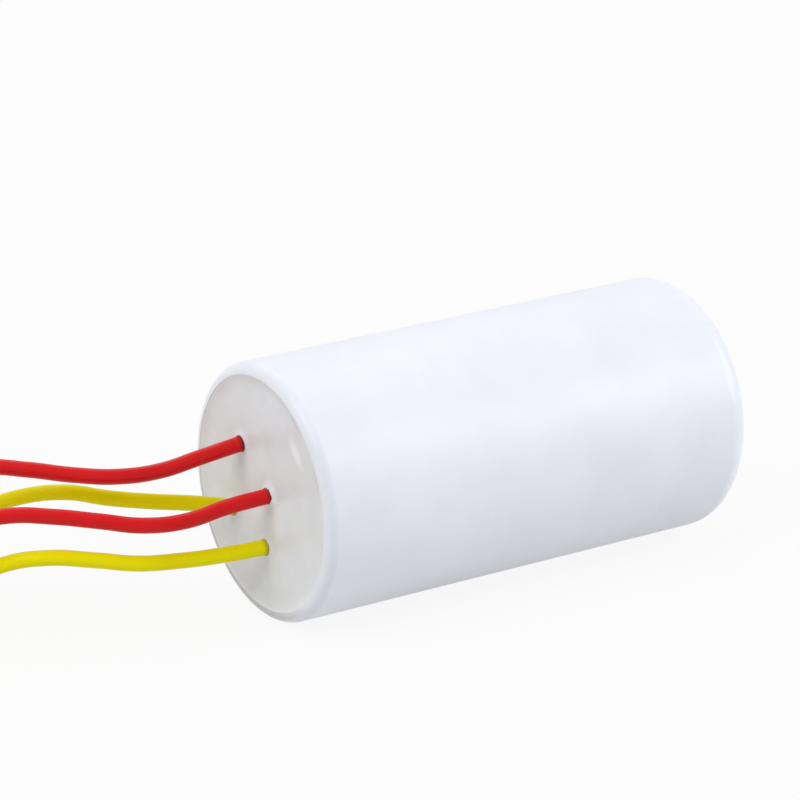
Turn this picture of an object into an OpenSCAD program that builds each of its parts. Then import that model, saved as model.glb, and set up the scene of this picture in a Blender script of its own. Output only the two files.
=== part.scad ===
// Motor run capacitor: a wound film element potted in a round plastic can,
// with two red and two yellow insulated leads that leave through the resin.
// The can lies along X with its lead end at -X and its closed end at +X.
// The origin is on the floor, under the middle of the can.

/* [Case] */
// Outer diameter of the can
case_d = 45; // [38:0.5:60]
// Length of the can, from the mouth rim to the closed end
case_len = 87; // [70:1:120]
// Thickness of the side wall
wall_t = 2; // [1.2:0.1:2.4]
// Thickness of the closed end
floor_t = 1.8; // [1.2:0.1:3]
// Outer rounding of the closed end's edge
rear_round = 4.5; // [2:0.5:7]
// Inner rounding at the bottom of the can
inner_round = 3; // [1:0.5:5]
// Outer rounding of the mouth rim
mouth_round = 1.1; // [0.4:0.1:1.1]
// Diameter of the moulding gate's dimple in the closed end
gate_d = 6; // [4:0.5:9]
// Depth of the gate dimple
gate_depth = 0.4; // [0.2:0.1:0.8]
// Diameter of the broken gate's stub inside the dimple
stub_d = 1.6; // [1:0.1:2.5]

/* [Potting resin] */
// Depth of the resin's flat face below the rim
fill_depth = 0.8; // [0.6:0.1:2]
// Radius of the hollow curve where the resin climbs the wall
climb_r = 2; // [1.8:0.1:3]
// Width of that climb, measured in from the wall
climb_w = 1.1; // [0.8:0.1:1.6]
// Height of the resin's collar round each lead
collar_h = 0.3; // [0.2:0.1:0.5]
// Width of the collar at its foot
collar_w = 0.5; // [0.4:0.1:1.2]
// Width of the collar at its top
collar_top_w = 0.1; // [0.1:0.05:0.4]

/* [Wound element] */
// Room between the rim and the front of the element
front_room = 15; // [12:0.5:22]
// Room between the back of the element and the can's floor
rear_room = 5.4; // [4:0.2:10]
// Outer diameter of the plastic tube that the film is wound on
core_d = 10; // [8:0.5:12]
// Bore of that tube
core_bore = 7; // [5:0.5:7.5]
// Thickness of the plain film wrapped round the winding
wrap_t = 0.3; // [0.2:0.1:0.6]
// Thickness of the metal sprayed on each end of the winding
spray_t = 0.8; // [0.5:0.1:1.2]

/* [Leads] */
// Outer diameter of a lead's insulation
lead_d = 2.7; // [2.2:0.02:3.3]
// Diameter of the stranded conductor
conductor_d = 1.3; // [1:0.1:1.5]
// Length stripped and tinned at the free end
strip_len = 8; // [5:0.5:12]
// Clearance on each side of a lead that runs beside the element
lead_clear = 0.45; // [0.3:0.05:1]
// Length bared at the front end, before the element
red_bare = 5.5; // [5:0.25:7]
// Length bared at the rear end, up to the back of the element
yellow_bare = 3; // [2:0.25:6]
// Radius at which a bare conductor is bent over
bend_r = 2; // [1.5:0.1:2.4]
// Gap between a bent conductor and the sprayed metal, filled by solder
seat_gap = 0.15; // [0.1:0.05:0.3]
// Base radius of a solder mound
solder_r = 3.4; // [2.6:0.1:4]
// Height of a solder mound
solder_h = 2.2; // [2:0.1:2.4]
// Straight stretch of a lead just inside the resin
lead_in = 1.7; // [1:0.1:2]
// Largest radius of the two bends that carry a yellow lead out to the wall
swan_r = 4; // [3:0.1:5]
// Shortest straight stretch between those two bends
swan_straight_min = 1; // [0.5:0.1:2]

/* [Hidden] */
$fn = 64;
eps = 0.01;
CORD_SIDES = 8;

case_r = case_d / 2;
bore_r = case_r - wall_t;
lead_r = lead_d / 2;
conductor_r = conductor_d / 2;
core_r = core_d / 2;
side_room = lead_d + 2 * lead_clear;
element_r = bore_r - side_room;
film_r = element_r - wrap_t;
// A depth is measured from the rim plane, along the can's axis.
collar_top = fill_depth - collar_h;
can_floor = case_len - floor_t;
element_front = front_room;
element_rear = can_floor - rear_room;
film_front = element_front + spray_t;
film_rear = element_rear - spray_t;
side_run_r = element_r + side_room / 2;
solder_ring_r = (core_r + film_r) / 2;
conductor_lift = conductor_r + seat_gap;
solder_sphere_r = (solder_r * solder_r + solder_h * solder_h) / (2 * solder_h);

RED = [0.86, 0.10, 0.14];
YELLOW = [0.87, 0.83, 0.05];
WHITE = [0.95, 0.96, 0.98];
RESIN = [0.86, 0.85, 0.82];
COPPER = [0.80, 0.50, 0.30];
TIN = [0.75, 0.76, 0.78];
ZINC = [0.62, 0.63, 0.66];
FILM = [0.78, 0.80, 0.84];
WRAP = [0.92, 0.90, 0.70];
CORE = [0.55, 0.60, 0.66];

// The free leads' routes: [distance out from the resin collar, across, height].
// The first point is where the lead leaves the resin. The last stretch lies on the floor.
AXIS_H = 22.5;
lying = lead_r;
RED_A = [
    [0, 7, 29.25], [7, 8, 28], [14, 10, 26.25], [21, 12, 26], [27.5, 15.5, 26.5], [34, 19.5, 27.5],
    [40.5, 23.5, 28], [47.5, 26, 27], [54.5, 27, 24.5], [61, 26.5, 20.5], [66.5, 24.5, 16],
    [71.5, 22, 11], [76.5, 19, 6.5], [82, 16, 3], [88.5, 13, lying], [95.5, 11, lying],
    [103, 10.5, lying], [110.5, 12, lying], [117, 15, lying], [123.5, 18.5, lying]];
RED_B = [
    [0, -2, 22.75], [7.5, -1, 22], [14.5, 0.5, 20.5], [21.5, 2.5, 20.5], [28, 6, 21.5],
    [34.5, 9.5, 22.5], [41.5, 13, 23], [48.5, 15, 22], [55.5, 15, 20], [61.5, 12.5, 16.5],
    [67, 8.5, 12.5], [72, 4.5, 8.5], [77, 0.5, 5], [82.5, -3, 2.5], [88.5, -7, lying],
    [95, -10, lying], [102.5, -11, lying], [110, -10, lying], [117, -7, lying], [123, -2.5, lying]];
YELLOW_A = [
    [0, 9.75, 16.75], [7, 11, 18.5], [14, 13.5, 19.5], [20.5, 16.5, 20.5], [26.5, 20.5, 21.5],
    [32.5, 25, 20.5], [38.5, 29, 18], [45, 32, 15], [51, 34.5, 11.5], [57, 36.5, 7.5], [63.5, 37.5, 4],
    [70.5, 37.5, 2], [77.5, 36.5, lying], [84.5, 34, lying], [91, 30.5, lying], [97.5, 27, lying],
    [104.5, 25, lying], [112, 25, lying], [119, 27.5, lying], [125.5, 31, lying]];
YELLOW_B = [
    [0, -0.75, 13], [7.5, 0, 13], [15, 1.75, 13], [22, 4, 13.25], [28.5, 7, 14.25], [35.5, 10.5, 15],
    [42, 14, 14], [49, 14.5, 12], [55.5, 11.5, 9], [60.5, 6.5, 6.5], [64.5, 0.5, 4.5], [68, -6, 3],
    [72, -12, 2], [77, -17.5, lying], [83.5, -21, lying], [90.5, -23, lying], [98, -23.5, lying],
    [105.5, -23, lying], [112.5, -21, lying], [119.5, -18, lying]];
// Number of points over which a route eases from the can's axis height to the floor
EASE = 12;

// ---- Placing ----

// The can's own frame: Z runs along its axis from the rim plane into the can.
module in_can() {
    translate([-case_len / 2, 0, case_r]) rotate([0, 90, 0]) children();
}

// The same frame, turned and moved so that Z is a lead's axis and +X points away from the can's axis.
module at_exit(route) {
    rotate([0, 0, exit_angle(route)]) translate([exit_r(route), 0, 0]) children();
}

function exit_across(route) = route[0][1];
function exit_up(route) = route[0][2] - AXIS_H;
function exit_r(route) = norm([exit_across(route), exit_up(route)]);
function exit_angle(route) = atan2(exit_across(route), -exit_up(route));

// ---- Bent round wire: a list of ["straight", length] and ["bend", radius, angle] steps ----

// A bend turns the wire from +Z toward +X, and a negative angle turns it toward -X.
module wire(r, steps, i = 0) {
    if (i < len(steps)) {
        step = steps[i];
        if (step[0] == "straight") {
            cylinder(h = step[1], r = r);
            translate([0, 0, step[1]]) wire(r, steps, i + 1);
        } else {
            half_turn = step[2] < 0 ? 180 : 0;
            angle = abs(step[2]);
            rotate([0, 0, half_turn]) {
                translate([step[1], 0, 0]) rotate([90, 0, 180])
                    rotate_extrude(angle = angle) translate([step[1], 0]) circle(r = r);
                translate([step[1] * (1 - cos(angle)), 0, step[1] * sin(angle)])
                    rotate([0, angle, 0]) rotate([0, 0, half_turn]) wire(r, steps, i + 1);
            }
        }
    }
}

// ---- Free lead: one tube swept along its route ----

function unit(v) = v / norm(v);
// A point of the route, eased with the axis height when the can's diameter is changed.
function route_point(route, i) =
    let (p = route[i], ease = max(0, 1 - i / EASE))
    [-case_len / 2 + collar_top - p[0], p[1], p[2] + (case_r - AXIS_H) * ease];
function route_points(route) = [for (i = [0:len(route) - 1]) route_point(route, i)];
function tangent(p, i) =
    i == 0 ? [-1, 0, 0]
    : i == len(p) - 1 ? unit(p[i] - p[i - 1])
    : unit(unit(p[i + 1] - p[i]) + unit(p[i] - p[i - 1]));
function ring(centre, t, r) =
    let (side = unit(cross(t, [0, 0, 1])), up = cross(side, t))
    [for (k = [0:CORD_SIDES - 1])
        let (a = 360 * (k + 0.5) / CORD_SIDES)
        centre + r * (cos(a) * side + sin(a) * up)];

module swept_tube(points, r) {
    n = len(points);
    m = CORD_SIDES;
    vertices = [for (i = [0:n - 1]) each ring(points[i], tangent(points, i), r)];
    first_cap = [[for (k = [0:m - 1]) k]];
    last_cap = [[for (k = [m - 1:-1:0]) (n - 1) * m + k]];
    sides = [for (i = [0:n - 2], k = [0:m - 1])
        [i * m + k, (i + 1) * m + k, (i + 1) * m + (k + 1) % m, i * m + (k + 1) % m]];
    polyhedron(points = vertices, faces = concat(first_cap, sides, last_cap));
}

module free_lead(colour, route) {
    color(colour) swept_tube(route_points(route), lead_r);
}

// The stripped end: tinned strands that carry on along the lead's last stretch.
module tip(route) {
    points = route_points(route);
    end = points[len(points) - 1];
    d = tangent(points, len(points) - 1);
    tip_chamfer = conductor_r / 3;
    color(TIN) translate(end) rotate([0, acos(d[2]), atan2(d[1], d[0])]) {
        cylinder(h = strip_len - tip_chamfer, r = conductor_r);
        translate([0, 0, strip_len - tip_chamfer])
            cylinder(h = tip_chamfer, r1 = conductor_r, r2 = conductor_r - tip_chamfer);
    }
}

// ---- Case ----

// Quarter of a square corner left outside a rounding of radius r, with the corner at the origin
module corner_waste(r) {
    difference() {
        translate([-r, -eps]) square([r + eps, r + eps]);
        translate([-r, r]) circle(r = r);
    }
}

// Half section of the can's outside: x is the radius and y the depth.
module case_outline() {
    difference() {
        square([case_r, case_len]);
        translate([case_r, 0]) corner_waste(mouth_round);
        translate([case_r, case_len]) mirror([0, 1]) corner_waste(rear_round);
    }
}

// Half section of the room inside the can
module bore_outline(top = 0) {
    difference() {
        translate([0, top]) square([bore_r, can_floor - top]);
        translate([bore_r, can_floor]) mirror([0, 1]) corner_waste(inner_round);
    }
}

module case() {
    color(WHITE) in_can() difference() {
        rotate_extrude() difference() {
            case_outline();
            bore_outline(-eps);
        }
        difference() {
            translate([0, 0, case_len - gate_depth]) cylinder(h = 1, d = gate_d);
            translate([0, 0, case_len - gate_depth]) cylinder(h = gate_depth / 2, d = stub_d);
        }
    }
}

// ---- Wound element ----

module annulus(r_out, r_in, from, to) {
    translate([0, 0, from]) difference() {
        cylinder(h = to - from, r = r_out);
        translate([0, 0, -1]) cylinder(h = to - from + 2, r = r_in);
    }
}

module winding_core() {
    color(CORE) in_can() annulus(core_r, core_bore / 2, element_front, element_rear);
}

module film_winding() {
    color(FILM) in_can() annulus(film_r, core_r, film_front, film_rear);
}

module winding_wrap() {
    color(WRAP) in_can() annulus(element_r, film_r, film_front, film_rear);
}

module front_end_spray() {
    color(ZINC) in_can() annulus(film_r, core_r, element_front, film_front);
}

module rear_end_spray() {
    color(ZINC) in_can() annulus(film_r, core_r, film_rear, element_rear);
}

// ---- Potted leads ----

// A red lead runs straight in, and its bare end is bent over onto the front of the element.
red_insulated = element_front - red_bare - collar_top;
red_drop = red_bare - conductor_lift - bend_r;
function red_flat(route) =
    max(2, sqrt(max(0, pow(solder_ring_r, 2) - pow(exit_r(route), 2))) - bend_r);

module red_root_shape(route) {
    at_exit(route) translate([0, 0, collar_top]) cylinder(h = red_insulated, r = lead_r);
}

module red_conductor_shape(route) {
    at_exit(route) rotate([0, 0, -90]) translate([0, 0, element_front - red_bare])
        wire(conductor_r, [["straight", red_drop], ["bend", bend_r, 90], ["straight", red_flat(route)]]);
}

module red_mound(route) {
    at_exit(route) rotate([0, 0, -90]) translate([bend_r + red_flat(route), 0, element_front])
        mirror([0, 0, 1]) mound();
}

// A yellow lead swings out to the wall, runs beside the element and is bent over onto its back.
function swing(route) = side_run_r - exit_r(route);
function swan_bend_r(route) = min(swan_r, (swing(route) - swan_straight_min) / 2);
function swan_depth(route) = collar_top + lead_in + 2 * swan_bend_r(route);
yellow_end = element_rear - yellow_bare;
yellow_drop = yellow_bare + conductor_lift - bend_r;
yellow_flat = side_run_r - bend_r - solder_ring_r;

module yellow_root_shape(route) {
    r = swan_bend_r(route);
    at_exit(route) translate([0, 0, collar_top])
        wire(lead_r, [
            ["straight", lead_in],
            ["bend", r, 90],
            ["straight", swing(route) - 2 * r],
            ["bend", r, -90],
            ["straight", yellow_end - swan_depth(route)]]);
}

module yellow_conductor_shape(route) {
    rotate([0, 0, exit_angle(route)]) translate([side_run_r, 0, yellow_end])
        wire(conductor_r, [["straight", yellow_drop], ["bend", bend_r, -90], ["straight", yellow_flat]]);
}

module yellow_mound(route) {
    rotate([0, 0, exit_angle(route)]) translate([solder_ring_r, 0, element_rear]) mound();
}

// A cap of a sphere, standing on the sprayed metal
module mound() {
    intersection() {
        translate([0, 0, solder_h - solder_sphere_r]) sphere(r = solder_sphere_r);
        cylinder(h = solder_h + 1, r = solder_r + 1);
    }
}

module red_root(route) {
    color(RED) in_can() red_root_shape(route);
}

module yellow_root(route) {
    color(YELLOW) in_can() yellow_root_shape(route);
}

module red_conductor(route) {
    color(COPPER) in_can() red_conductor_shape(route);
}

module yellow_conductor(route) {
    color(COPPER) in_can() yellow_conductor_shape(route);
}

module red_solder(route) {
    color(TIN) in_can() difference() {
        red_mound(route);
        red_conductor_shape(route);
    }
}

module yellow_solder(route) {
    color(TIN) in_can() difference() {
        yellow_mound(route);
        yellow_conductor_shape(route);
    }
}

// ---- Potting resin ----

// Half section of the poured resin, with the hollow curve where it climbs the wall
module resin_outline() {
    difference() {
        bore_outline();
        translate([0, -1]) square([bore_r - climb_w, fill_depth + 1]);
        translate([bore_r - climb_w, fill_depth - climb_r]) circle(r = climb_r);
    }
}

module collar(route) {
    at_exit(route) translate([0, 0, collar_top])
        cylinder(h = collar_h, r1 = lead_r + collar_top_w, r2 = lead_r + collar_w);
}

module potting_resin() {
    color(RESIN) in_can() difference() {
        union() {
            rotate_extrude() resin_outline();
            for (route = [RED_A, RED_B, YELLOW_A, YELLOW_B]) collar(route);
        }
        annulus(core_r, core_bore / 2, element_front, element_rear);
        annulus(element_r, core_r, film_front, film_rear);
        annulus(film_r, core_r, element_front, film_front);
        annulus(film_r, core_r, film_rear, element_rear);
        for (route = [RED_A, RED_B]) {
            red_root_shape(route);
            red_conductor_shape(route);
            red_mound(route);
        }
        for (route = [YELLOW_A, YELLOW_B]) {
            yellow_root_shape(route);
            yellow_conductor_shape(route);
            yellow_mound(route);
        }
    }
}

case();
potting_resin();
winding_core();
film_winding();
winding_wrap();
front_end_spray();
rear_end_spray();
free_lead(RED, RED_A);  // red_lead_a
free_lead(RED, RED_B);  // red_lead_b
free_lead(YELLOW, YELLOW_A);  // yellow_lead_a
free_lead(YELLOW, YELLOW_B);  // yellow_lead_b
tip(RED_A);  // red_tip_a
tip(RED_B);  // red_tip_b
tip(YELLOW_A);  // yellow_tip_a
tip(YELLOW_B);  // yellow_tip_b
red_root(RED_A);  // red_root_a
red_root(RED_B);  // red_root_b
yellow_root(YELLOW_A);  // yellow_root_a
yellow_root(YELLOW_B);  // yellow_root_b
red_conductor(RED_A);  // red_conductor_a
red_conductor(RED_B);  // red_conductor_b
yellow_conductor(YELLOW_A);  // yellow_conductor_a
yellow_conductor(YELLOW_B);  // yellow_conductor_b
red_solder(RED_A);  // red_solder_a
red_solder(RED_B);  // red_solder_b
yellow_solder(YELLOW_A);  // yellow_solder_a
yellow_solder(YELLOW_B);  // yellow_solder_b
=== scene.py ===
# A motor run capacitor lying on its side: a white moulded can, milky potting resin in its mouth,
# and two red and two yellow insulated leads whose stripped ends lie on the floor.

import math

import bpy
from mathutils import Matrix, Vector


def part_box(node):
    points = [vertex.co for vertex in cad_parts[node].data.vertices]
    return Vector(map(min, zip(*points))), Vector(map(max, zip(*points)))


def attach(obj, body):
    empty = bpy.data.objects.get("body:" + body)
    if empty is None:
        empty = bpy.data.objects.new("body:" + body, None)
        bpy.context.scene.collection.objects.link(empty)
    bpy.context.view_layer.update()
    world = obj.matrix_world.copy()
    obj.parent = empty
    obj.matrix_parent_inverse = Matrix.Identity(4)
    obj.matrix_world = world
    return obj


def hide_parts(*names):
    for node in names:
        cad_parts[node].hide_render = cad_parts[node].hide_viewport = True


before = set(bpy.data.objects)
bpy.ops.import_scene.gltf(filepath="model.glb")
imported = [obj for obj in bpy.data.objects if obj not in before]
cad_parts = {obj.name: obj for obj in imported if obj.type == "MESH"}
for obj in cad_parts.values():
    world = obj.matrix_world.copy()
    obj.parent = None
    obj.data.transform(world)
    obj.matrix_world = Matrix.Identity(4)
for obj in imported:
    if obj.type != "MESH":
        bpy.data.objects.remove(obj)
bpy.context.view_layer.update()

MM = 0.001

# ---- Small helpers ----


def hex_colour(text):
    """sRGB hex text to a linear RGBA colour."""
    parts = [int(text[i : i + 2], 16) / 255 for i in (1, 3, 5)]
    linear = [c / 12.92 if c <= 0.04045 else ((c + 0.055) / 1.055) ** 2.4 for c in parts]
    return (*linear, 1.0)


def add(material, kind, settings=None, inputs=None, links=None, stops=None):
    """Adds a node, sets its properties and inputs, and links inputs to other nodes' outputs."""
    tree = material.node_tree
    node = tree.nodes.new(kind)
    for key, value in (settings or {}).items():
        setattr(node, key, value)
    for key, value in (inputs or {}).items():
        node.inputs[key].default_value = value
    for key, source in (links or {}).items():
        tree.links.new(source, node.inputs[key])
    for index, (position, colour) in enumerate(stops or []):
        if index > 1:
            node.color_ramp.elements.new(position)
        node.color_ramp.elements[index].position = position
        node.color_ramp.elements[index].color = hex_colour(colour)
    return node


def finish_material(name, roughness, metallic=0.0, ior=1.5):
    """A new material, its shader with the finish's plain numbers, and its Object coordinates."""
    material = bpy.data.materials.new(name)
    material.use_nodes = True
    shader = material.node_tree.nodes["Principled BSDF"]
    shader.inputs["Roughness"].default_value = roughness
    shader.inputs["Metallic"].default_value = metallic
    shader.inputs["IOR"].default_value = ior
    place = add(material, "ShaderNodeTexCoord").outputs["Object"]
    return material, shader, place


def patches(material, vector, size, detail=3):
    """Soft noise whose patches have a real size in millimetres."""
    return add(
        material,
        "ShaderNodeTexNoise",
        inputs={"Scale": 1 / (size * MM), "Detail": detail, "Roughness": 0.55},
        links={"Vector": vector},
    ).outputs["Fac"]


def drift(material, shader, amount, low, high):
    """Colour that drifts between two near tones."""
    tone = add(
        material,
        "ShaderNodeValToRGB",
        links={"Fac": amount},
        stops=[(0.3, low), (0.7, high)],
    )
    material.node_tree.links.new(tone.outputs["Color"], shader.inputs["Base Color"])
    return tone


def relief(material, shader, height, depth):
    """A surface relief with a real depth in millimetres."""
    bump = add(
        material,
        "ShaderNodeBump",
        inputs={"Distance": depth * MM, "Strength": 1.0},
        links={"Height": height},
    )
    material.node_tree.links.new(bump.outputs["Normal"], shader.inputs["Normal"])


def from_axis(material, place):
    """Distance from the can's axis, in metres."""
    centred = add(
        material,
        "ShaderNodeMapping",
        settings={"vector_type": "POINT"},
        inputs={"Location": (0, 0, -AXIS_Z), "Scale": (0, 1, 1)},
        links={"Vector": place},
    )
    return add(
        material,
        "ShaderNodeVectorMath",
        settings={"operation": "LENGTH"},
        links={0: centred.outputs["Vector"]},
    ).outputs["Value"]


def deselect():
    """Nothing is selected before an operator works."""
    for piece in bpy.context.selected_objects:
        piece.select_set(False)


def work_on(piece):
    """Makes one piece the only one that operators work on."""
    deselect()
    piece.select_set(True)
    bpy.context.view_layer.objects.active = piece


def settle():
    """Puts the active piece's place into its mesh, with its object at the origin."""
    bpy.ops.object.transform_apply(location=True, rotation=True, scale=True)


def select_where(piece, kind, test):
    """In edit mode, selects the vertices, edges or faces whose every corner passes the test."""
    bpy.ops.mesh.select_mode(type=kind)
    bpy.ops.mesh.select_all(action="DESELECT")
    bpy.ops.object.mode_set(mode="OBJECT")
    mesh = piece.data
    inside = [test(vertex.co) for vertex in mesh.vertices]
    if kind == "VERT":
        mesh.vertices.foreach_set("select", inside)
    elif kind == "EDGE":
        for edge in mesh.edges:
            edge.select = all(inside[i] for i in edge.vertices)
    else:
        for face in mesh.polygons:
            face.select = all(inside[i] for i in face.vertices)
    bpy.ops.object.mode_set(mode="EDIT")


def apply_modifier(piece, kind, **settings):
    """Adds a modifier with its settings and applies it."""
    modifier = piece.modifiers.new(kind.lower(), kind)
    for key, value in settings.items():
        setattr(modifier, key, value)
    bpy.ops.object.modifier_apply(modifier=modifier.name)


# ---- Places that the frame gives ----

can_low, can_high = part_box("case")
resin_low, resin_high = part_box("potting_resin")
CAN_R = (can_high.y - can_low.y) / 2
BORE_R = (resin_high.y - resin_low.y) / 2
AXIS_Z = (can_high.z + can_low.z) / 2
MOUTH_X = can_low.x

# ---- Camera: from the lead end's side, a little above ----

AZIMUTH = math.radians(-32.53)
ELEVATION = math.radians(20.35)
DISTANCE = 665 * MM
AIM = Vector((-20.63, -7.9, 37.28)) * MM

back = Vector(
    (
        math.sin(AZIMUTH) * math.cos(ELEVATION),
        -math.cos(AZIMUTH) * math.cos(ELEVATION),
        math.sin(ELEVATION),
    )
)
camera_data = bpy.data.cameras.new("camera")
camera_data.lens = 177.8
camera_data.sensor_width = 36
camera = bpy.data.objects.new("camera", camera_data)
bpy.context.scene.collection.objects.link(camera)
camera.location = AIM + back * DISTANCE
camera.rotation_mode = "QUATERNION"
camera.rotation_quaternion = (-back).to_track_quat("-Z", "Y")
bpy.context.scene.camera = camera

# ---- Leads: sizes and routes, in millimetres ----

LEAD_R = 1.35
LEAD_LENGTH = 142
STRIP_LENGTH = 8
CONDUCTOR_R = 0.65
FILL_DEPTH = 0.8
COLLAR_TOP = 0.5
lying = LEAD_R
# [distance out from the resin collar, across, height]
ROUTES = {
    "red_lead_a": [
        [0, 7, 29.25], [7, 8, 28], [14, 10, 26.25], [21, 12, 26], [27.5, 15.5, 26.5],
        [34, 19.5, 27.5], [40.5, 23.5, 28], [47.5, 26, 27], [54.5, 27, 24.5], [61, 26.5, 20.5],
        [66.5, 24.5, 16], [71.5, 22, 11], [76.5, 19, 6.5], [82, 16, 3], [88.5, 13, lying],
        [95.5, 11, lying], [103, 10.5, lying], [110.5, 12, lying], [117, 15, lying],
        [123.5, 18.5, lying],
    ],
    "red_lead_b": [
        [0, -2, 22.75], [7.5, -1, 22], [14.5, 0.5, 20.5], [21.5, 2.5, 20.5], [28, 6, 21.5],
        [34.5, 9.5, 22.5], [41.5, 13, 23], [48.5, 15, 22], [55.5, 15, 20], [61.5, 12.5, 16.5],
        [67, 8.5, 12.5], [72, 4.5, 8.5], [77, 0.5, 5], [82.5, -3, 2.5], [88.5, -7, lying],
        [95, -10, lying], [102.5, -11, lying], [110, -10, lying], [117, -7, lying],
        [123, -2.5, lying],
    ],
    "yellow_lead_a": [
        [0, 9.75, 16.75], [7, 11, 18.5], [14, 13.5, 19.5], [20.5, 16.5, 20.5], [26.5, 20.5, 21.5],
        [32.5, 25, 20.5], [38.5, 29, 18], [45, 32, 15], [51, 34.5, 11.5], [57, 36.5, 7.5],
        [63.5, 37.5, 4], [70.5, 37.5, 2], [77.5, 36.5, lying], [84.5, 34, lying],
        [91, 30.5, lying], [97.5, 27, lying], [104.5, 25, lying], [112, 25, lying],
        [119, 27.5, lying], [125.5, 31, lying],
    ],
    "yellow_lead_b": [
        [0, -0.75, 13], [7.5, 0, 13], [15, 1.75, 13], [22, 4, 13.25], [28.5, 7, 14.25],
        [35.5, 10.5, 15], [42, 14, 14], [49, 14.5, 12], [55.5, 11.5, 9], [60.5, 6.5, 6.5],
        [64.5, 0.5, 4.5], [68, -6, 3], [72, -12, 2], [77, -17.5, lying], [83.5, -21, lying],
        [90.5, -23, lying], [98, -23.5, lying], [105.5, -23, lying], [112.5, -21, lying],
        [119.5, -18, lying],
    ],
}


def route_points(name):
    """A lead's route in the row frame, in metres."""
    start = MOUTH_X + COLLAR_TOP * MM
    return [Vector((start - out * MM, across * MM, up * MM)) for out, across, up in ROUTES[name]]


# ---- Materials: lengths in millimetres ----

# Painted shade on the mouth's rim, a darker grey over its inner half on its low side: how far
# out from the bore, over what width it fades, how far back from the mouth, the low side's
# direction from the axis, and where along that direction it starts and is full.
RIM_SHADE_OUT = 1.5
RIM_SHADE_FADE = 0.5
RIM_SHADE_BACK = 4
LOW_SIDE = (0, 0.45, -0.89)
RIM_SHADE_START = 7
RIM_SHADE_FULL = 15
# Painted highlight, a pale streak on the resin's face: its middle (across, height), its lean and
# its half sizes.
HIGHLIGHT_AT = (-10.4, 33.2)
HIGHLIGHT_LEAN = math.radians(-43)
HIGHLIGHT_HALF = (1.3, 3.2)
# The resin whitens over this last width before the wall.
THIN_FROM = 0.5
THIN_TO = 0.05
# Painted shade at the foot of a lead where it leaves the resin, and the lines that the die leaves
# on it.
ROOT_SHADE_FROM = 0.1
ROOT_SHADE_TO = 0.8
GIRTH = 8.5
LINE_GAP = 0.4
LINE_LENGTH = 30
# Film turns show as rings this far apart.
RING_GAP = 0.5


def moulded_polypropylene():
    """Injection-moulded polypropylene, pigmented white.

    Cold white and satin, with a faint cloudiness from the melt's flow and a fine spark-eroded
    texture from the mould, so that its highlights are wide and soft.
    """
    material, shader, place = finish_material("moulded white polypropylene", 0.36, ior=1.49)
    white = drift(material, shader, patches(material, place, 14), "#E2E5EE", "#E8EBF4")
    relief(material, shader, patches(material, place, 0.7, detail=4), 0.012)
    # Painted shade: the inner half of the mouth's rim turns a darker grey on its low side, near
    # the mouth.
    axis_at = LOW_SIDE[2] * AXIS_Z
    inner_half = add(
        material,
        "ShaderNodeMapRange",
        inputs={
            "From Min": BORE_R + RIM_SHADE_OUT * MM,
            "From Max": BORE_R + (RIM_SHADE_OUT - RIM_SHADE_FADE) * MM,
        },
        links={"Value": from_axis(material, place)},
    )
    along_low_side = add(
        material,
        "ShaderNodeVectorMath",
        settings={"operation": "DOT_PRODUCT"},
        inputs={1: LOW_SIDE},
        links={0: place},
    )
    low_side = add(
        material,
        "ShaderNodeMapRange",
        inputs={"From Min": axis_at + RIM_SHADE_START * MM, "From Max": axis_at + RIM_SHADE_FULL * MM},
        links={"Value": along_low_side.outputs["Value"]},
    )
    at_mouth = add(
        material,
        "ShaderNodeMath",
        settings={"operation": "LESS_THAN"},
        inputs={1: MOUTH_X + RIM_SHADE_BACK * MM},
        links={0: add(material, "ShaderNodeSeparateXYZ", links={0: place}).outputs["X"]},
    )
    low_and_inner = add(
        material,
        "ShaderNodeMath",
        settings={"operation": "MULTIPLY"},
        links={0: inner_half.outputs["Result"], 1: low_side.outputs["Result"]},
    )
    rim_shade = add(
        material,
        "ShaderNodeMath",
        settings={"operation": "MULTIPLY"},
        links={0: low_and_inner.outputs["Value"], 1: at_mouth.outputs["Value"]},
    )
    # The darker grey mixed in here is painted shade.
    rim_shaded = add(
        material,
        "ShaderNodeMix",
        settings={"data_type": "RGBA"},
        inputs={7: hex_colour("#CACBD0")},
        links={0: rim_shade.outputs["Value"], 6: white.outputs["Color"]},
    )
    material.node_tree.links.new(rim_shaded.outputs[2], shader.inputs["Base Color"])
    return material


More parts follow.
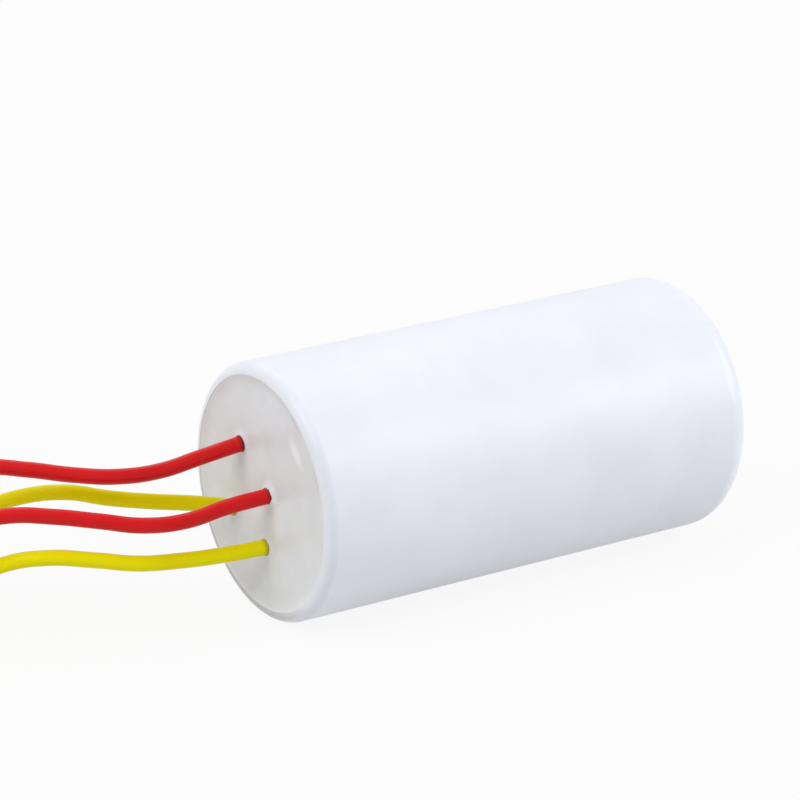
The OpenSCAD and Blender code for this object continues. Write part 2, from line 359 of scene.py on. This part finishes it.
def cast_resin():
    """Polyurethane potting resin, poured and cured in the can.

    Milky and glossy. It is faintly cloudy where filler has settled, and whiter where it thins
    out as it climbs the can's wall.
    """
    material, shader, place = finish_material("poured milky potting resin", 0.3, ior=1.5)
    cloud = drift(material, shader, patches(material, place, 7, detail=4), "#D6D9DD", "#DFE2E6")
    climb = add(
        material,
        "ShaderNodeMapRange",
        inputs={"From Min": BORE_R - THIN_FROM * MM, "From Max": BORE_R - THIN_TO * MM},
        links={"Value": from_axis(material, place)},
    )
    thin = add(
        material,
        "ShaderNodeMix",
        settings={"data_type": "RGBA"},
        inputs={7: hex_colour("#E4E6EE")},
        links={0: climb.outputs["Result"], 6: cloud.outputs["Color"]},
    )
    # Painted highlight: one pale streak on the resin's face, a reflection painted into its
    # colour.
    highlight_place = add(
        material,
        "ShaderNodeMapping",
        settings={"vector_type": "TEXTURE"},
        inputs={
            "Location": (MOUTH_X, HIGHLIGHT_AT[0] * MM, HIGHLIGHT_AT[1] * MM),
            "Rotation": (HIGHLIGHT_LEAN, 0, 0),
            "Scale": (1, HIGHLIGHT_HALF[0] * MM, HIGHLIGHT_HALF[1] * MM),
        },
        links={"Vector": place},
    )
    from_highlight = add(
        material,
        "ShaderNodeVectorMath",
        settings={"operation": "LENGTH"},
        links={0: highlight_place.outputs["Vector"]},
    )
    in_highlight = add(
        material,
        "ShaderNodeMapRange",
        settings={"interpolation_type": "SMOOTHSTEP"},
        inputs={"From Min": 1.3, "From Max": 0.2},
        links={"Value": from_highlight.outputs["Value"]},
    )
    highlighted = add(
        material,
        "ShaderNodeMix",
        settings={"data_type": "RGBA"},
        inputs={7: hex_colour("#EDEFF4")},
        links={0: in_highlight.outputs["Result"], 6: thin.outputs[2]},
    )
    material.node_tree.links.new(highlighted.outputs[2], shader.inputs["Base Color"])
    relief(material, shader, patches(material, place, 3.5), 0.02)
    return material


def extruded_pvc(name, low, high, root_shade, shine):
    """Soft PVC insulation, extruded over the strands.

    Strong colour with a low sheen, higher on the red. The die leaves very fine lines along the
    lead, and the colour drifts a little over a few millimetres.
    """
    material, shader, place = finish_material(name, 0.28, ior=1.53)
    shader.inputs["Specular IOR Level"].default_value = shine
    tone = drift(material, shader, patches(material, place, 9), low, high)
    along = add(material, "ShaderNodeTexCoord").outputs["UV"]
    # Painted shade: just out of the resin the lead is darker, a contact shadow painted into its
    # colour.
    root_shaded = add(
        material,
        "ShaderNodeMapRange",
        inputs={"From Min": ROOT_SHADE_FROM / LEAD_LENGTH, "From Max": ROOT_SHADE_TO / LEAD_LENGTH},
        links={"Value": add(material, "ShaderNodeSeparateXYZ", links={0: along}).outputs["X"]},
    )
    with_root_shade = add(
        material,
        "ShaderNodeMix",
        settings={"data_type": "RGBA"},
        inputs={6: hex_colour(root_shade)},
        links={0: root_shaded.outputs["Result"], 7: tone.outputs["Color"]},
    )
    material.node_tree.links.new(with_root_shade.outputs[2], shader.inputs["Base Color"])
    # The lines are drawn coarser than real ones, so that they show.
    lines = add(
        material,
        "ShaderNodeMapping",
        inputs={"Scale": (LEAD_LENGTH / LINE_LENGTH, GIRTH / LINE_GAP, 1)},
        links={"Vector": along},
    )
    grooves = add(
        material,
        "ShaderNodeTexNoise",
        inputs={"Scale": 1, "Detail": 2},
        links={"Vector": lines.outputs["Vector"]},
    )
    relief(material, shader, grooves.outputs["Fac"], 0.01)
    return material


def drawn_metal(name, low, high, roughness, size, depth):
    """Bare metal whose tone and relief vary over grains of a real size in millimetres."""
    material, shader, place = finish_material(name, roughness, metallic=1.0)
    grains = patches(material, place, size, detail=4)
    drift(material, shader, grains, low, high)
    relief(material, shader, grains, depth)
    return material


def wound_film(name, low, high, metallic, roughness):
    """Thin film wound on a tube: fine rings round the axis on its ends, each ring many turns."""
    material, shader, place = finish_material(name, roughness, metallic=metallic, ior=1.49)
    rings = add(
        material,
        "ShaderNodeMath",
        settings={"operation": "SINE"},
        links={
            0: add(
                material,
                "ShaderNodeMath",
                settings={"operation": "MULTIPLY"},
                inputs={1: 2 * math.pi / (RING_GAP * MM)},
                links={0: from_axis(material, place)},
            ).outputs["Value"]
        },
    )
    drift(material, shader, patches(material, place, 5), low, high)
    relief(material, shader, rings.outputs["Value"], 0.01)
    return material


white_plastic = moulded_polypropylene()
resin = cast_resin()
# The third colour of each lead is the painted shade at its foot.
red_pvc = extruded_pvc("extruded red PVC", "#CE080E", "#D80C13", "#7A0509", 0.2)
yellow_pvc = extruded_pvc("extruded yellow PVC", "#E9E100", "#F0E800", "#9E9A08", 0.08)
# Tin on copper strand: grey-white and softly bright, uneven where the tin has pooled.
tinned_copper = drawn_metal("tinned copper strand", "#B9BABB", "#D2D3D4", 0.32, 0.6, 0.01)
# Bare copper strand: warm, a little dulled by handling.
bare_copper = drawn_metal("bare copper strand", "#B4714C", "#CF8A5F", 0.35, 0.8, 0.01)
# Zinc sprayed as molten drops: dull grey and granular, like fine sandpaper.
sprayed_zinc = drawn_metal("sprayed zinc", "#85888C", "#A3A6AA", 0.62, 0.35, 0.05)
# Tin solder, cooled from liquid: smooth and bright with soft dimples.
tin_solder = drawn_metal("tin solder", "#A9ABAE", "#C4C6C8", 0.25, 2.5, 0.03)
# Metallised polypropylene film: silvery, with the turns showing as rings.
film = wound_film("metallised polypropylene film", "#A5A9B1", "#BCC0C7", 0.8, 0.35)
# Clear film wrapped round the winding: pale straw colour and glossy.
wrap = wound_film("clear polypropylene wrap", "#DDD9B4", "#E8E5C6", 0.0, 0.2)


def moulded_core():
    """Extruded polypropylene tube: grey-blue, waxy, with a faint cloudiness."""
    material, shader, place = finish_material("extruded polypropylene core", 0.45, ior=1.49)
    drift(material, shader, patches(material, place, 4), "#8490A0", "#93A0B0")
    relief(material, shader, patches(material, place, 0.6), 0.01)
    return material


core = moulded_core()

# The first of these words that a CAD node's name holds gives its material.
FINISHES = {
    "case": white_plastic,
    "potting_resin": resin,
    "winding_core": core,
    "film_winding": film,
    "winding_wrap": wrap,
    "spray": sprayed_zinc,
    "solder": tin_solder,
    "conductor": bare_copper,
    "tip": tinned_copper,
    "red": red_pvc,
    "yellow": yellow_pvc,
}
for node_name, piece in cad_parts.items():
    finish = next(FINISHES[word] for word in FINISHES if word in node_name)
    piece.data.materials.clear()
    piece.data.materials.append(finish)

# ---- The free leads ----

# Steps of the tube's round, the rounding of its cut end in millimetres, and how much wider
# its foot is.
ROUND_STEPS = 6
LIP = 0.12
FOOT = 1.13


def insulated_lead(name, points):
    """A round tube along one smooth spline.

    Its foot is squeezed out a little where the resin grips it, and the rim of its cut end is
    rounded.
    """
    data = bpy.data.curves.new(name, "CURVE")
    data.dimensions = "3D"
    data.bevel_depth = LEAD_R * MM
    data.bevel_resolution = ROUND_STEPS
    data.resolution_u = 10
    data.use_fill_caps = True
    spline = data.splines.new("BEZIER")
    spline.bezier_points.add(len(points) - 1)
    for knot, point in zip(spline.bezier_points, points):
        knot.co = point
        knot.handle_left_type = "AUTO"
        knot.handle_right_type = "AUTO"
    lead = bpy.data.objects.new(name, data)
    bpy.context.scene.collection.objects.link(lead)
    work_on(lead)
    bpy.ops.object.convert(target="MESH")
    lead = bpy.context.object
    end = points[-1]
    # Reaches the rim of the tube's end and no further along it.
    at_end = LEAD_R * MM * 1.02
    bpy.ops.object.mode_set(mode="EDIT")
    bpy.ops.mesh.select_all(action="SELECT")
    bpy.ops.mesh.remove_doubles(threshold=0.01 * MM)
    bpy.ops.mesh.normals_make_consistent(inside=False)
    select_where(lead, "VERT", lambda co: (co - points[0]).length < at_end)
    bpy.ops.transform.resize(value=(FOOT, FOOT, FOOT), center_override=points[0])
    select_where(lead, "FACE", lambda co: (co - end).length < at_end)
    bpy.ops.mesh.dissolve_faces()
    bpy.ops.mesh.bevel(offset=LIP * MM, segments=3, affect="EDGES")
    bpy.ops.object.mode_set(mode="OBJECT")
    bpy.ops.object.shade_smooth_by_angle(angle=math.radians(40))
    return lead


# ---- The stripped ends: seven strands twisted together and dipped in tin ----

# A strand's radius and its rounded edge, the bundle's twist, and how far it starts inside the
# insulation, in millimetres.
STRANDS = 7
STRAND_R = CONDUCTOR_R / 3
STRAND_EDGE = 0.06
STRAND_SIDES = 12
TWIST_STEPS = 32
TWIST = math.radians(250)
INSIDE = 1.0


def strand_bundle():
    """Strands that run up from the origin, one in the middle and six round it."""
    strands = []
    for index in range(STRANDS):
        turn = math.radians(60 * index)
        off = 0 if index == STRANDS - 1 else 2 * STRAND_R * MM
        deselect()
        bpy.ops.mesh.primitive_circle_add(
            vertices=STRAND_SIDES,
            radius=STRAND_R * MM,
            fill_type="NGON",
            location=(off * math.cos(turn), off * math.sin(turn), -INSIDE * MM),
        )
        strands.append(bpy.context.object)
    for strand in strands:
        strand.select_set(True)
    bpy.ops.object.join()
    bundle = bpy.context.object
    settle()
    step = (STRIP_LENGTH + INSIDE) * MM / TWIST_STEPS
    bpy.ops.object.mode_set(mode="EDIT")
    bpy.ops.mesh.select_all(action="SELECT")
    for _ in range(TWIST_STEPS):
        bpy.ops.mesh.extrude_region_move(TRANSFORM_OT_translate={"value": (0, 0, step)})
        bpy.ops.transform.rotate(
            value=TWIST / TWIST_STEPS, orient_axis="Z", center_override=(0, 0, 0)
        )
    bpy.ops.mesh.select_all(action="SELECT")
    bpy.ops.mesh.normals_make_consistent(inside=False)
    bpy.ops.object.mode_set(mode="OBJECT")
    bpy.ops.object.shade_smooth_by_angle(angle=math.radians(40))
    apply_modifier(
        bundle, "BEVEL", width=STRAND_EDGE * MM, segments=2, limit_method="ANGLE", angle_limit=1
    )
    return bundle


bundle = strand_bundle()
for name in ROUTES:
    colour = name.split("_")[0]
    points = route_points(name)
    lead = insulated_lead(name + "_insulation", points)
    lead.data.materials.append(red_pvc if colour == "red" else yellow_pvc)
    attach(lead, "root")
    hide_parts(name)

    tip_name = name.replace("lead", "tip")
    strands = bundle.copy()
    strands.data = bundle.data.copy()
    strands.name = tip_name + "_strands"
    bpy.context.scene.collection.objects.link(strands)
    strands.location = points[-1]
    strands.rotation_euler = (points[-1] - points[-2]).to_track_quat("Z", "Y").to_euler()
    work_on(strands)
    settle()
    strands.data.materials.append(tinned_copper)
    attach(strands, "root")
    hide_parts(tip_name)
bpy.data.objects.remove(bundle)

# ---- The can: a softly rounded rim at its mouth, and the gate's dimple in its closed end ----

CAN_SIDES = 160
RIM_ROUND = 1.9
RIM_INNER_ROUND = 0.08
REAR_ROUND = 4.5
BOTTOM_ROUND = 3
GATE_R = 3
GATE_DEPTH = 0.4
STUB_R = 0.8
STUB_HEIGHT = 0.2
WALL_T = (CAN_R - BORE_R) / MM
bore_end = resin_high.x
can_end = can_high.x


def off_axis(co):
    """Distance from the can's axis, in millimetres."""
    return math.hypot(co.y, co.z - AXIS_Z) / MM


def moulded_can():
    """A cylinder hollowed from its mouth, with rounded edges and a gate dimple behind."""
    deselect()
    bpy.ops.mesh.primitive_cylinder_add(
        vertices=CAN_SIDES,
        radius=CAN_R,
        depth=can_end - MOUTH_X,
        location=((MOUTH_X + can_end) / 2, 0, AXIS_Z),
        rotation=(0, math.pi / 2, 0),
    )
    can = bpy.context.object
    can.name = "moulded_can"
    settle()

    def ring_at(x, r):
        """Tests for the points of one ring round the axis."""
        return lambda co: abs(co.x - x) < 0.01 * MM and abs(off_axis(co) - r / MM) < 0.1

    def disc_at(x, r):
        """Tests for the points of a flat disc across the axis."""
        return lambda co: abs(co.x - x) < 0.01 * MM and off_axis(co) < r / MM + 0.05

    bpy.ops.object.mode_set(mode="EDIT")
    select_where(can, "FACE", disc_at(MOUTH_X, CAN_R))
    bpy.ops.mesh.inset(thickness=WALL_T * MM)
    bpy.ops.mesh.extrude_region_move(
        TRANSFORM_OT_translate={"value": (bore_end - MOUTH_X, 0, 0)}
    )
    for x, r, rounding, steps in (
        (MOUTH_X, CAN_R, RIM_ROUND, 8),
        (MOUTH_X, BORE_R, RIM_INNER_ROUND, 2),
        (can_end, CAN_R, REAR_ROUND, 10),
        (bore_end, BORE_R, BOTTOM_ROUND, 6),
    ):
        select_where(can, "EDGE", ring_at(x, r))
        bpy.ops.mesh.bevel(offset=rounding * MM, segments=steps, affect="EDGES")
    rear_flat = CAN_R - REAR_ROUND * MM
    select_where(can, "FACE", disc_at(can_end, rear_flat))
    bpy.ops.mesh.inset(thickness=rear_flat - GATE_R * MM)
    bpy.ops.mesh.extrude_region_move(
        TRANSFORM_OT_translate={"value": (-GATE_DEPTH * MM, 0, 0)}
    )
    bpy.ops.mesh.inset(thickness=(GATE_R - STUB_R) * MM)
    bpy.ops.mesh.extrude_region_move(
        TRANSFORM_OT_translate={"value": (STUB_HEIGHT * MM, 0, 0)}
    )
    bpy.ops.mesh.select_all(action="SELECT")
    bpy.ops.mesh.normals_make_consistent(inside=False)
    bpy.ops.object.mode_set(mode="OBJECT")
    bpy.ops.object.shade_smooth_by_angle(angle=math.radians(35))
    apply_modifier(can, "WEIGHTED_NORMAL", keep_sharp=True)
    return can


can = moulded_can()
can.data.materials.append(white_plastic)
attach(can, "root")
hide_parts("case")

# ---- The resin's skin: it climbs the wall and each lead, and isn't quite flat ----

# How far the skin's front stands over the cast face, its thickness, and its gap to the wall
SKIN = 0.06
SKIN_T = 0.03
EDGE_GAP = 0.01
# Width of a ring of the climb, and how far each ring stands above the flat, from the wall in
RING = 0.3
CLIMB = [0.66, 0.48, 0.34, 0.23, 0.15, 0.09, 0.05, 0.02, 0.01]
GRID = 32
# How far the resin climbs a lead, and how far from the lead that starts
WICK = {"red_lead_a": 0.38, "red_lead_b": 0.65, "yellow_lead_a": 0.4, "yellow_lead_b": 0.45}
WICK_REACH = 1.4
# Width and depth of the unevenness that curing leaves
UNEVEN_SIZE = 9
UNEVEN_DEPTH = 0.04
face_x = MOUTH_X + (FILL_DEPTH - SKIN) * MM


def beside_lead(co, name, reach):
    """Whether a point lies within reach, in millimetres, of where a lead leaves the resin."""
    _, across, up = ROUTES[name][0]
    root = Vector((0, across, up)) * MM
    return math.hypot(co.y - root.y, co.z - root.z) < reach * MM


def resin_skin():
    """A disc with rings at the wall and a fine grid inside, shaped and given a thickness."""
    outer = BORE_R / MM - EDGE_GAP
    deselect()
    bpy.ops.mesh.primitive_circle_add(
        vertices=4 * GRID,
        radius=outer * MM,
        fill_type="NGON",
        location=(face_x, 0, AXIS_Z),
        rotation=(0, -math.pi / 2, 0),
    )
    skin = bpy.context.object
    skin.name = "resin_skin"
    settle()
    bpy.ops.object.mode_set(mode="EDIT")
    bpy.ops.mesh.select_all(action="SELECT")
    for _ in CLIMB:
        bpy.ops.mesh.inset(thickness=RING * MM)
    bpy.ops.mesh.delete(type="ONLY_FACE")
    inner = outer - RING * len(CLIMB) + 0.02
    select_where(skin, "EDGE", lambda co: off_axis(co) < inner)
    bpy.ops.mesh.fill_grid(span=GRID)
    bpy.ops.mesh.subdivide(number_cuts=1)
    for ring, height in enumerate(CLIMB):
        r = outer - RING * ring
        select_where(skin, "VERT", lambda co, r=r: abs(off_axis(co) - r) < 0.05)
        bpy.ops.transform.translate(value=(-height * MM, 0, 0))
    for name in ROUTES:
        fine_to = LEAD_R + WICK_REACH + 0.6
        peak_to = LEAD_R + 0.12
        select_where(skin, "FACE", lambda co, name=name: beside_lead(co, name, fine_to))
        bpy.ops.mesh.subdivide(number_cuts=3)
        select_where(skin, "VERT", lambda co, name=name: beside_lead(co, name, peak_to))
        bpy.ops.transform.translate(
            value=(-WICK[name] * MM, 0, 0),
            use_proportional_edit=True,
            proportional_edit_falloff="SHARP",
            proportional_size=WICK_REACH * MM,
        )
    bpy.ops.object.mode_set(mode="OBJECT")
    uneven = bpy.data.textures.new("cured unevenness", "CLOUDS")
    uneven.noise_scale = UNEVEN_SIZE * MM
    apply_modifier(
        skin,
        "DISPLACE",
        texture=uneven,
        strength=UNEVEN_DEPTH * MM,
        direction="X",
        texture_coords="LOCAL",
    )
    apply_modifier(skin, "SOLIDIFY", thickness=SKIN_T * MM, offset=-1)
    bpy.ops.object.shade_smooth_by_angle(angle=math.radians(50))
    return skin


skin = resin_skin()
skin.data.materials.append(resin)
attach(skin, "root")

# ---- Floor, light and background ----

FLOOR_SIZE = 8
FLOOR_WHITE = 0.9
deselect()
bpy.ops.mesh.primitive_plane_add(size=FLOOR_SIZE, location=(0, 0, 0))
floor = bpy.context.object
floor.name = "floor"

floor_paint = bpy.data.materials.new("pale floor")
floor_paint.use_nodes = True
floor_shader = floor_paint.node_tree.nodes["Principled BSDF"]
floor_shader.inputs["Base Color"].default_value = hex_colour("#DCDCDC")
floor_shader.inputs["Roughness"].default_value = 1.0
floor_shader.inputs["Specular IOR Level"].default_value = 0.0


def seen_directly(material, strength):
    """The strength for rays that show the background: camera, glossy and transmission rays."""
    rays = add(material, "ShaderNodeLightPath").outputs
    seen_or_mirrored = add(
        material,
        "ShaderNodeMath",
        settings={"operation": "ADD"},
        links={0: rays["Is Camera Ray"], 1: rays["Is Glossy Ray"]},
    )
    shown = add(
        material,
        "ShaderNodeMath",
        settings={"operation": "ADD", "use_clamp": True},
        links={0: seen_or_mirrored.outputs["Value"], 1: rays["Is Transmission Ray"]},
    )
    return add(
        material,
        "ShaderNodeMath",
        settings={"operation": "MULTIPLY"},
        inputs={1: strength},
        links={0: shown.outputs["Value"]},
    ).outputs["Value"]


white_floor = add(
    floor_paint, "ShaderNodeEmission", inputs={"Color": (1, 1, 1, 1), "Strength": 1.0}
)
floor_mix = add(
    floor_paint,
    "ShaderNodeMixShader",
    links={
        0: seen_directly(floor_paint, FLOOR_WHITE),
        1: floor_shader.outputs["BSDF"],
        2: white_floor.outputs["Emission"],
    },
)
floor_out = floor_paint.node_tree.nodes["Material Output"]
floor_paint.node_tree.links.new(floor_mix.outputs["Shader"], floor_out.inputs["Surface"])
floor.data.materials.append(floor_paint)

# Strength of the plain white room's light on the object
ROOM = 0.5
world = bpy.data.worlds.new("studio")
world.use_nodes = True
bpy.context.scene.world = world
room = world.node_tree.nodes["Background"]
room.inputs["Color"].default_value = (1, 1, 1, 1)
room.inputs["Strength"].default_value = ROOM
white_room = add(world, "ShaderNodeBackground", inputs={"Color": (1, 1, 1, 1), "Strength": 1.0})
room_mix = add(
    world,
    "ShaderNodeMixShader",
    links={
        0: seen_directly(world, 1.0),
        1: room.outputs["Background"],
        2: white_room.outputs["Background"],
    },
)
world_out = world.node_tree.nodes["World Output"]
world.node_tree.links.new(room_mix.outputs["Shader"], world_out.inputs["Surface"])


LAMP_AIM = Vector((0, 0, 0.02))


def softbox(name, place, size, power):
    """A square soft lamp at a place, facing the can."""
    light = bpy.data.lights.new(name, "AREA")
    light.shape = "RECTANGLE"
    light.size = size
    light.size_y = size
    light.energy = power
    lamp = bpy.data.objects.new(name, light)
    bpy.context.scene.collection.objects.link(lamp)
    lamp.location = place
    lamp.rotation_mode = "QUATERNION"
    lamp.rotation_quaternion = (LAMP_AIM - Vector(place)).to_track_quat("-Z", "Y")


softbox("mouth_light", (-0.9, -0.1, 1.0), size=0.9, power=8.1)
softbox("end_light", (1.1, -0.7, 0.6), size=0.9, power=10.3)
softbox("back_light", (0, 0.8, 1.0), size=1.0, power=3.0)

bpy.context.scene.view_settings.view_transform = "Standard"
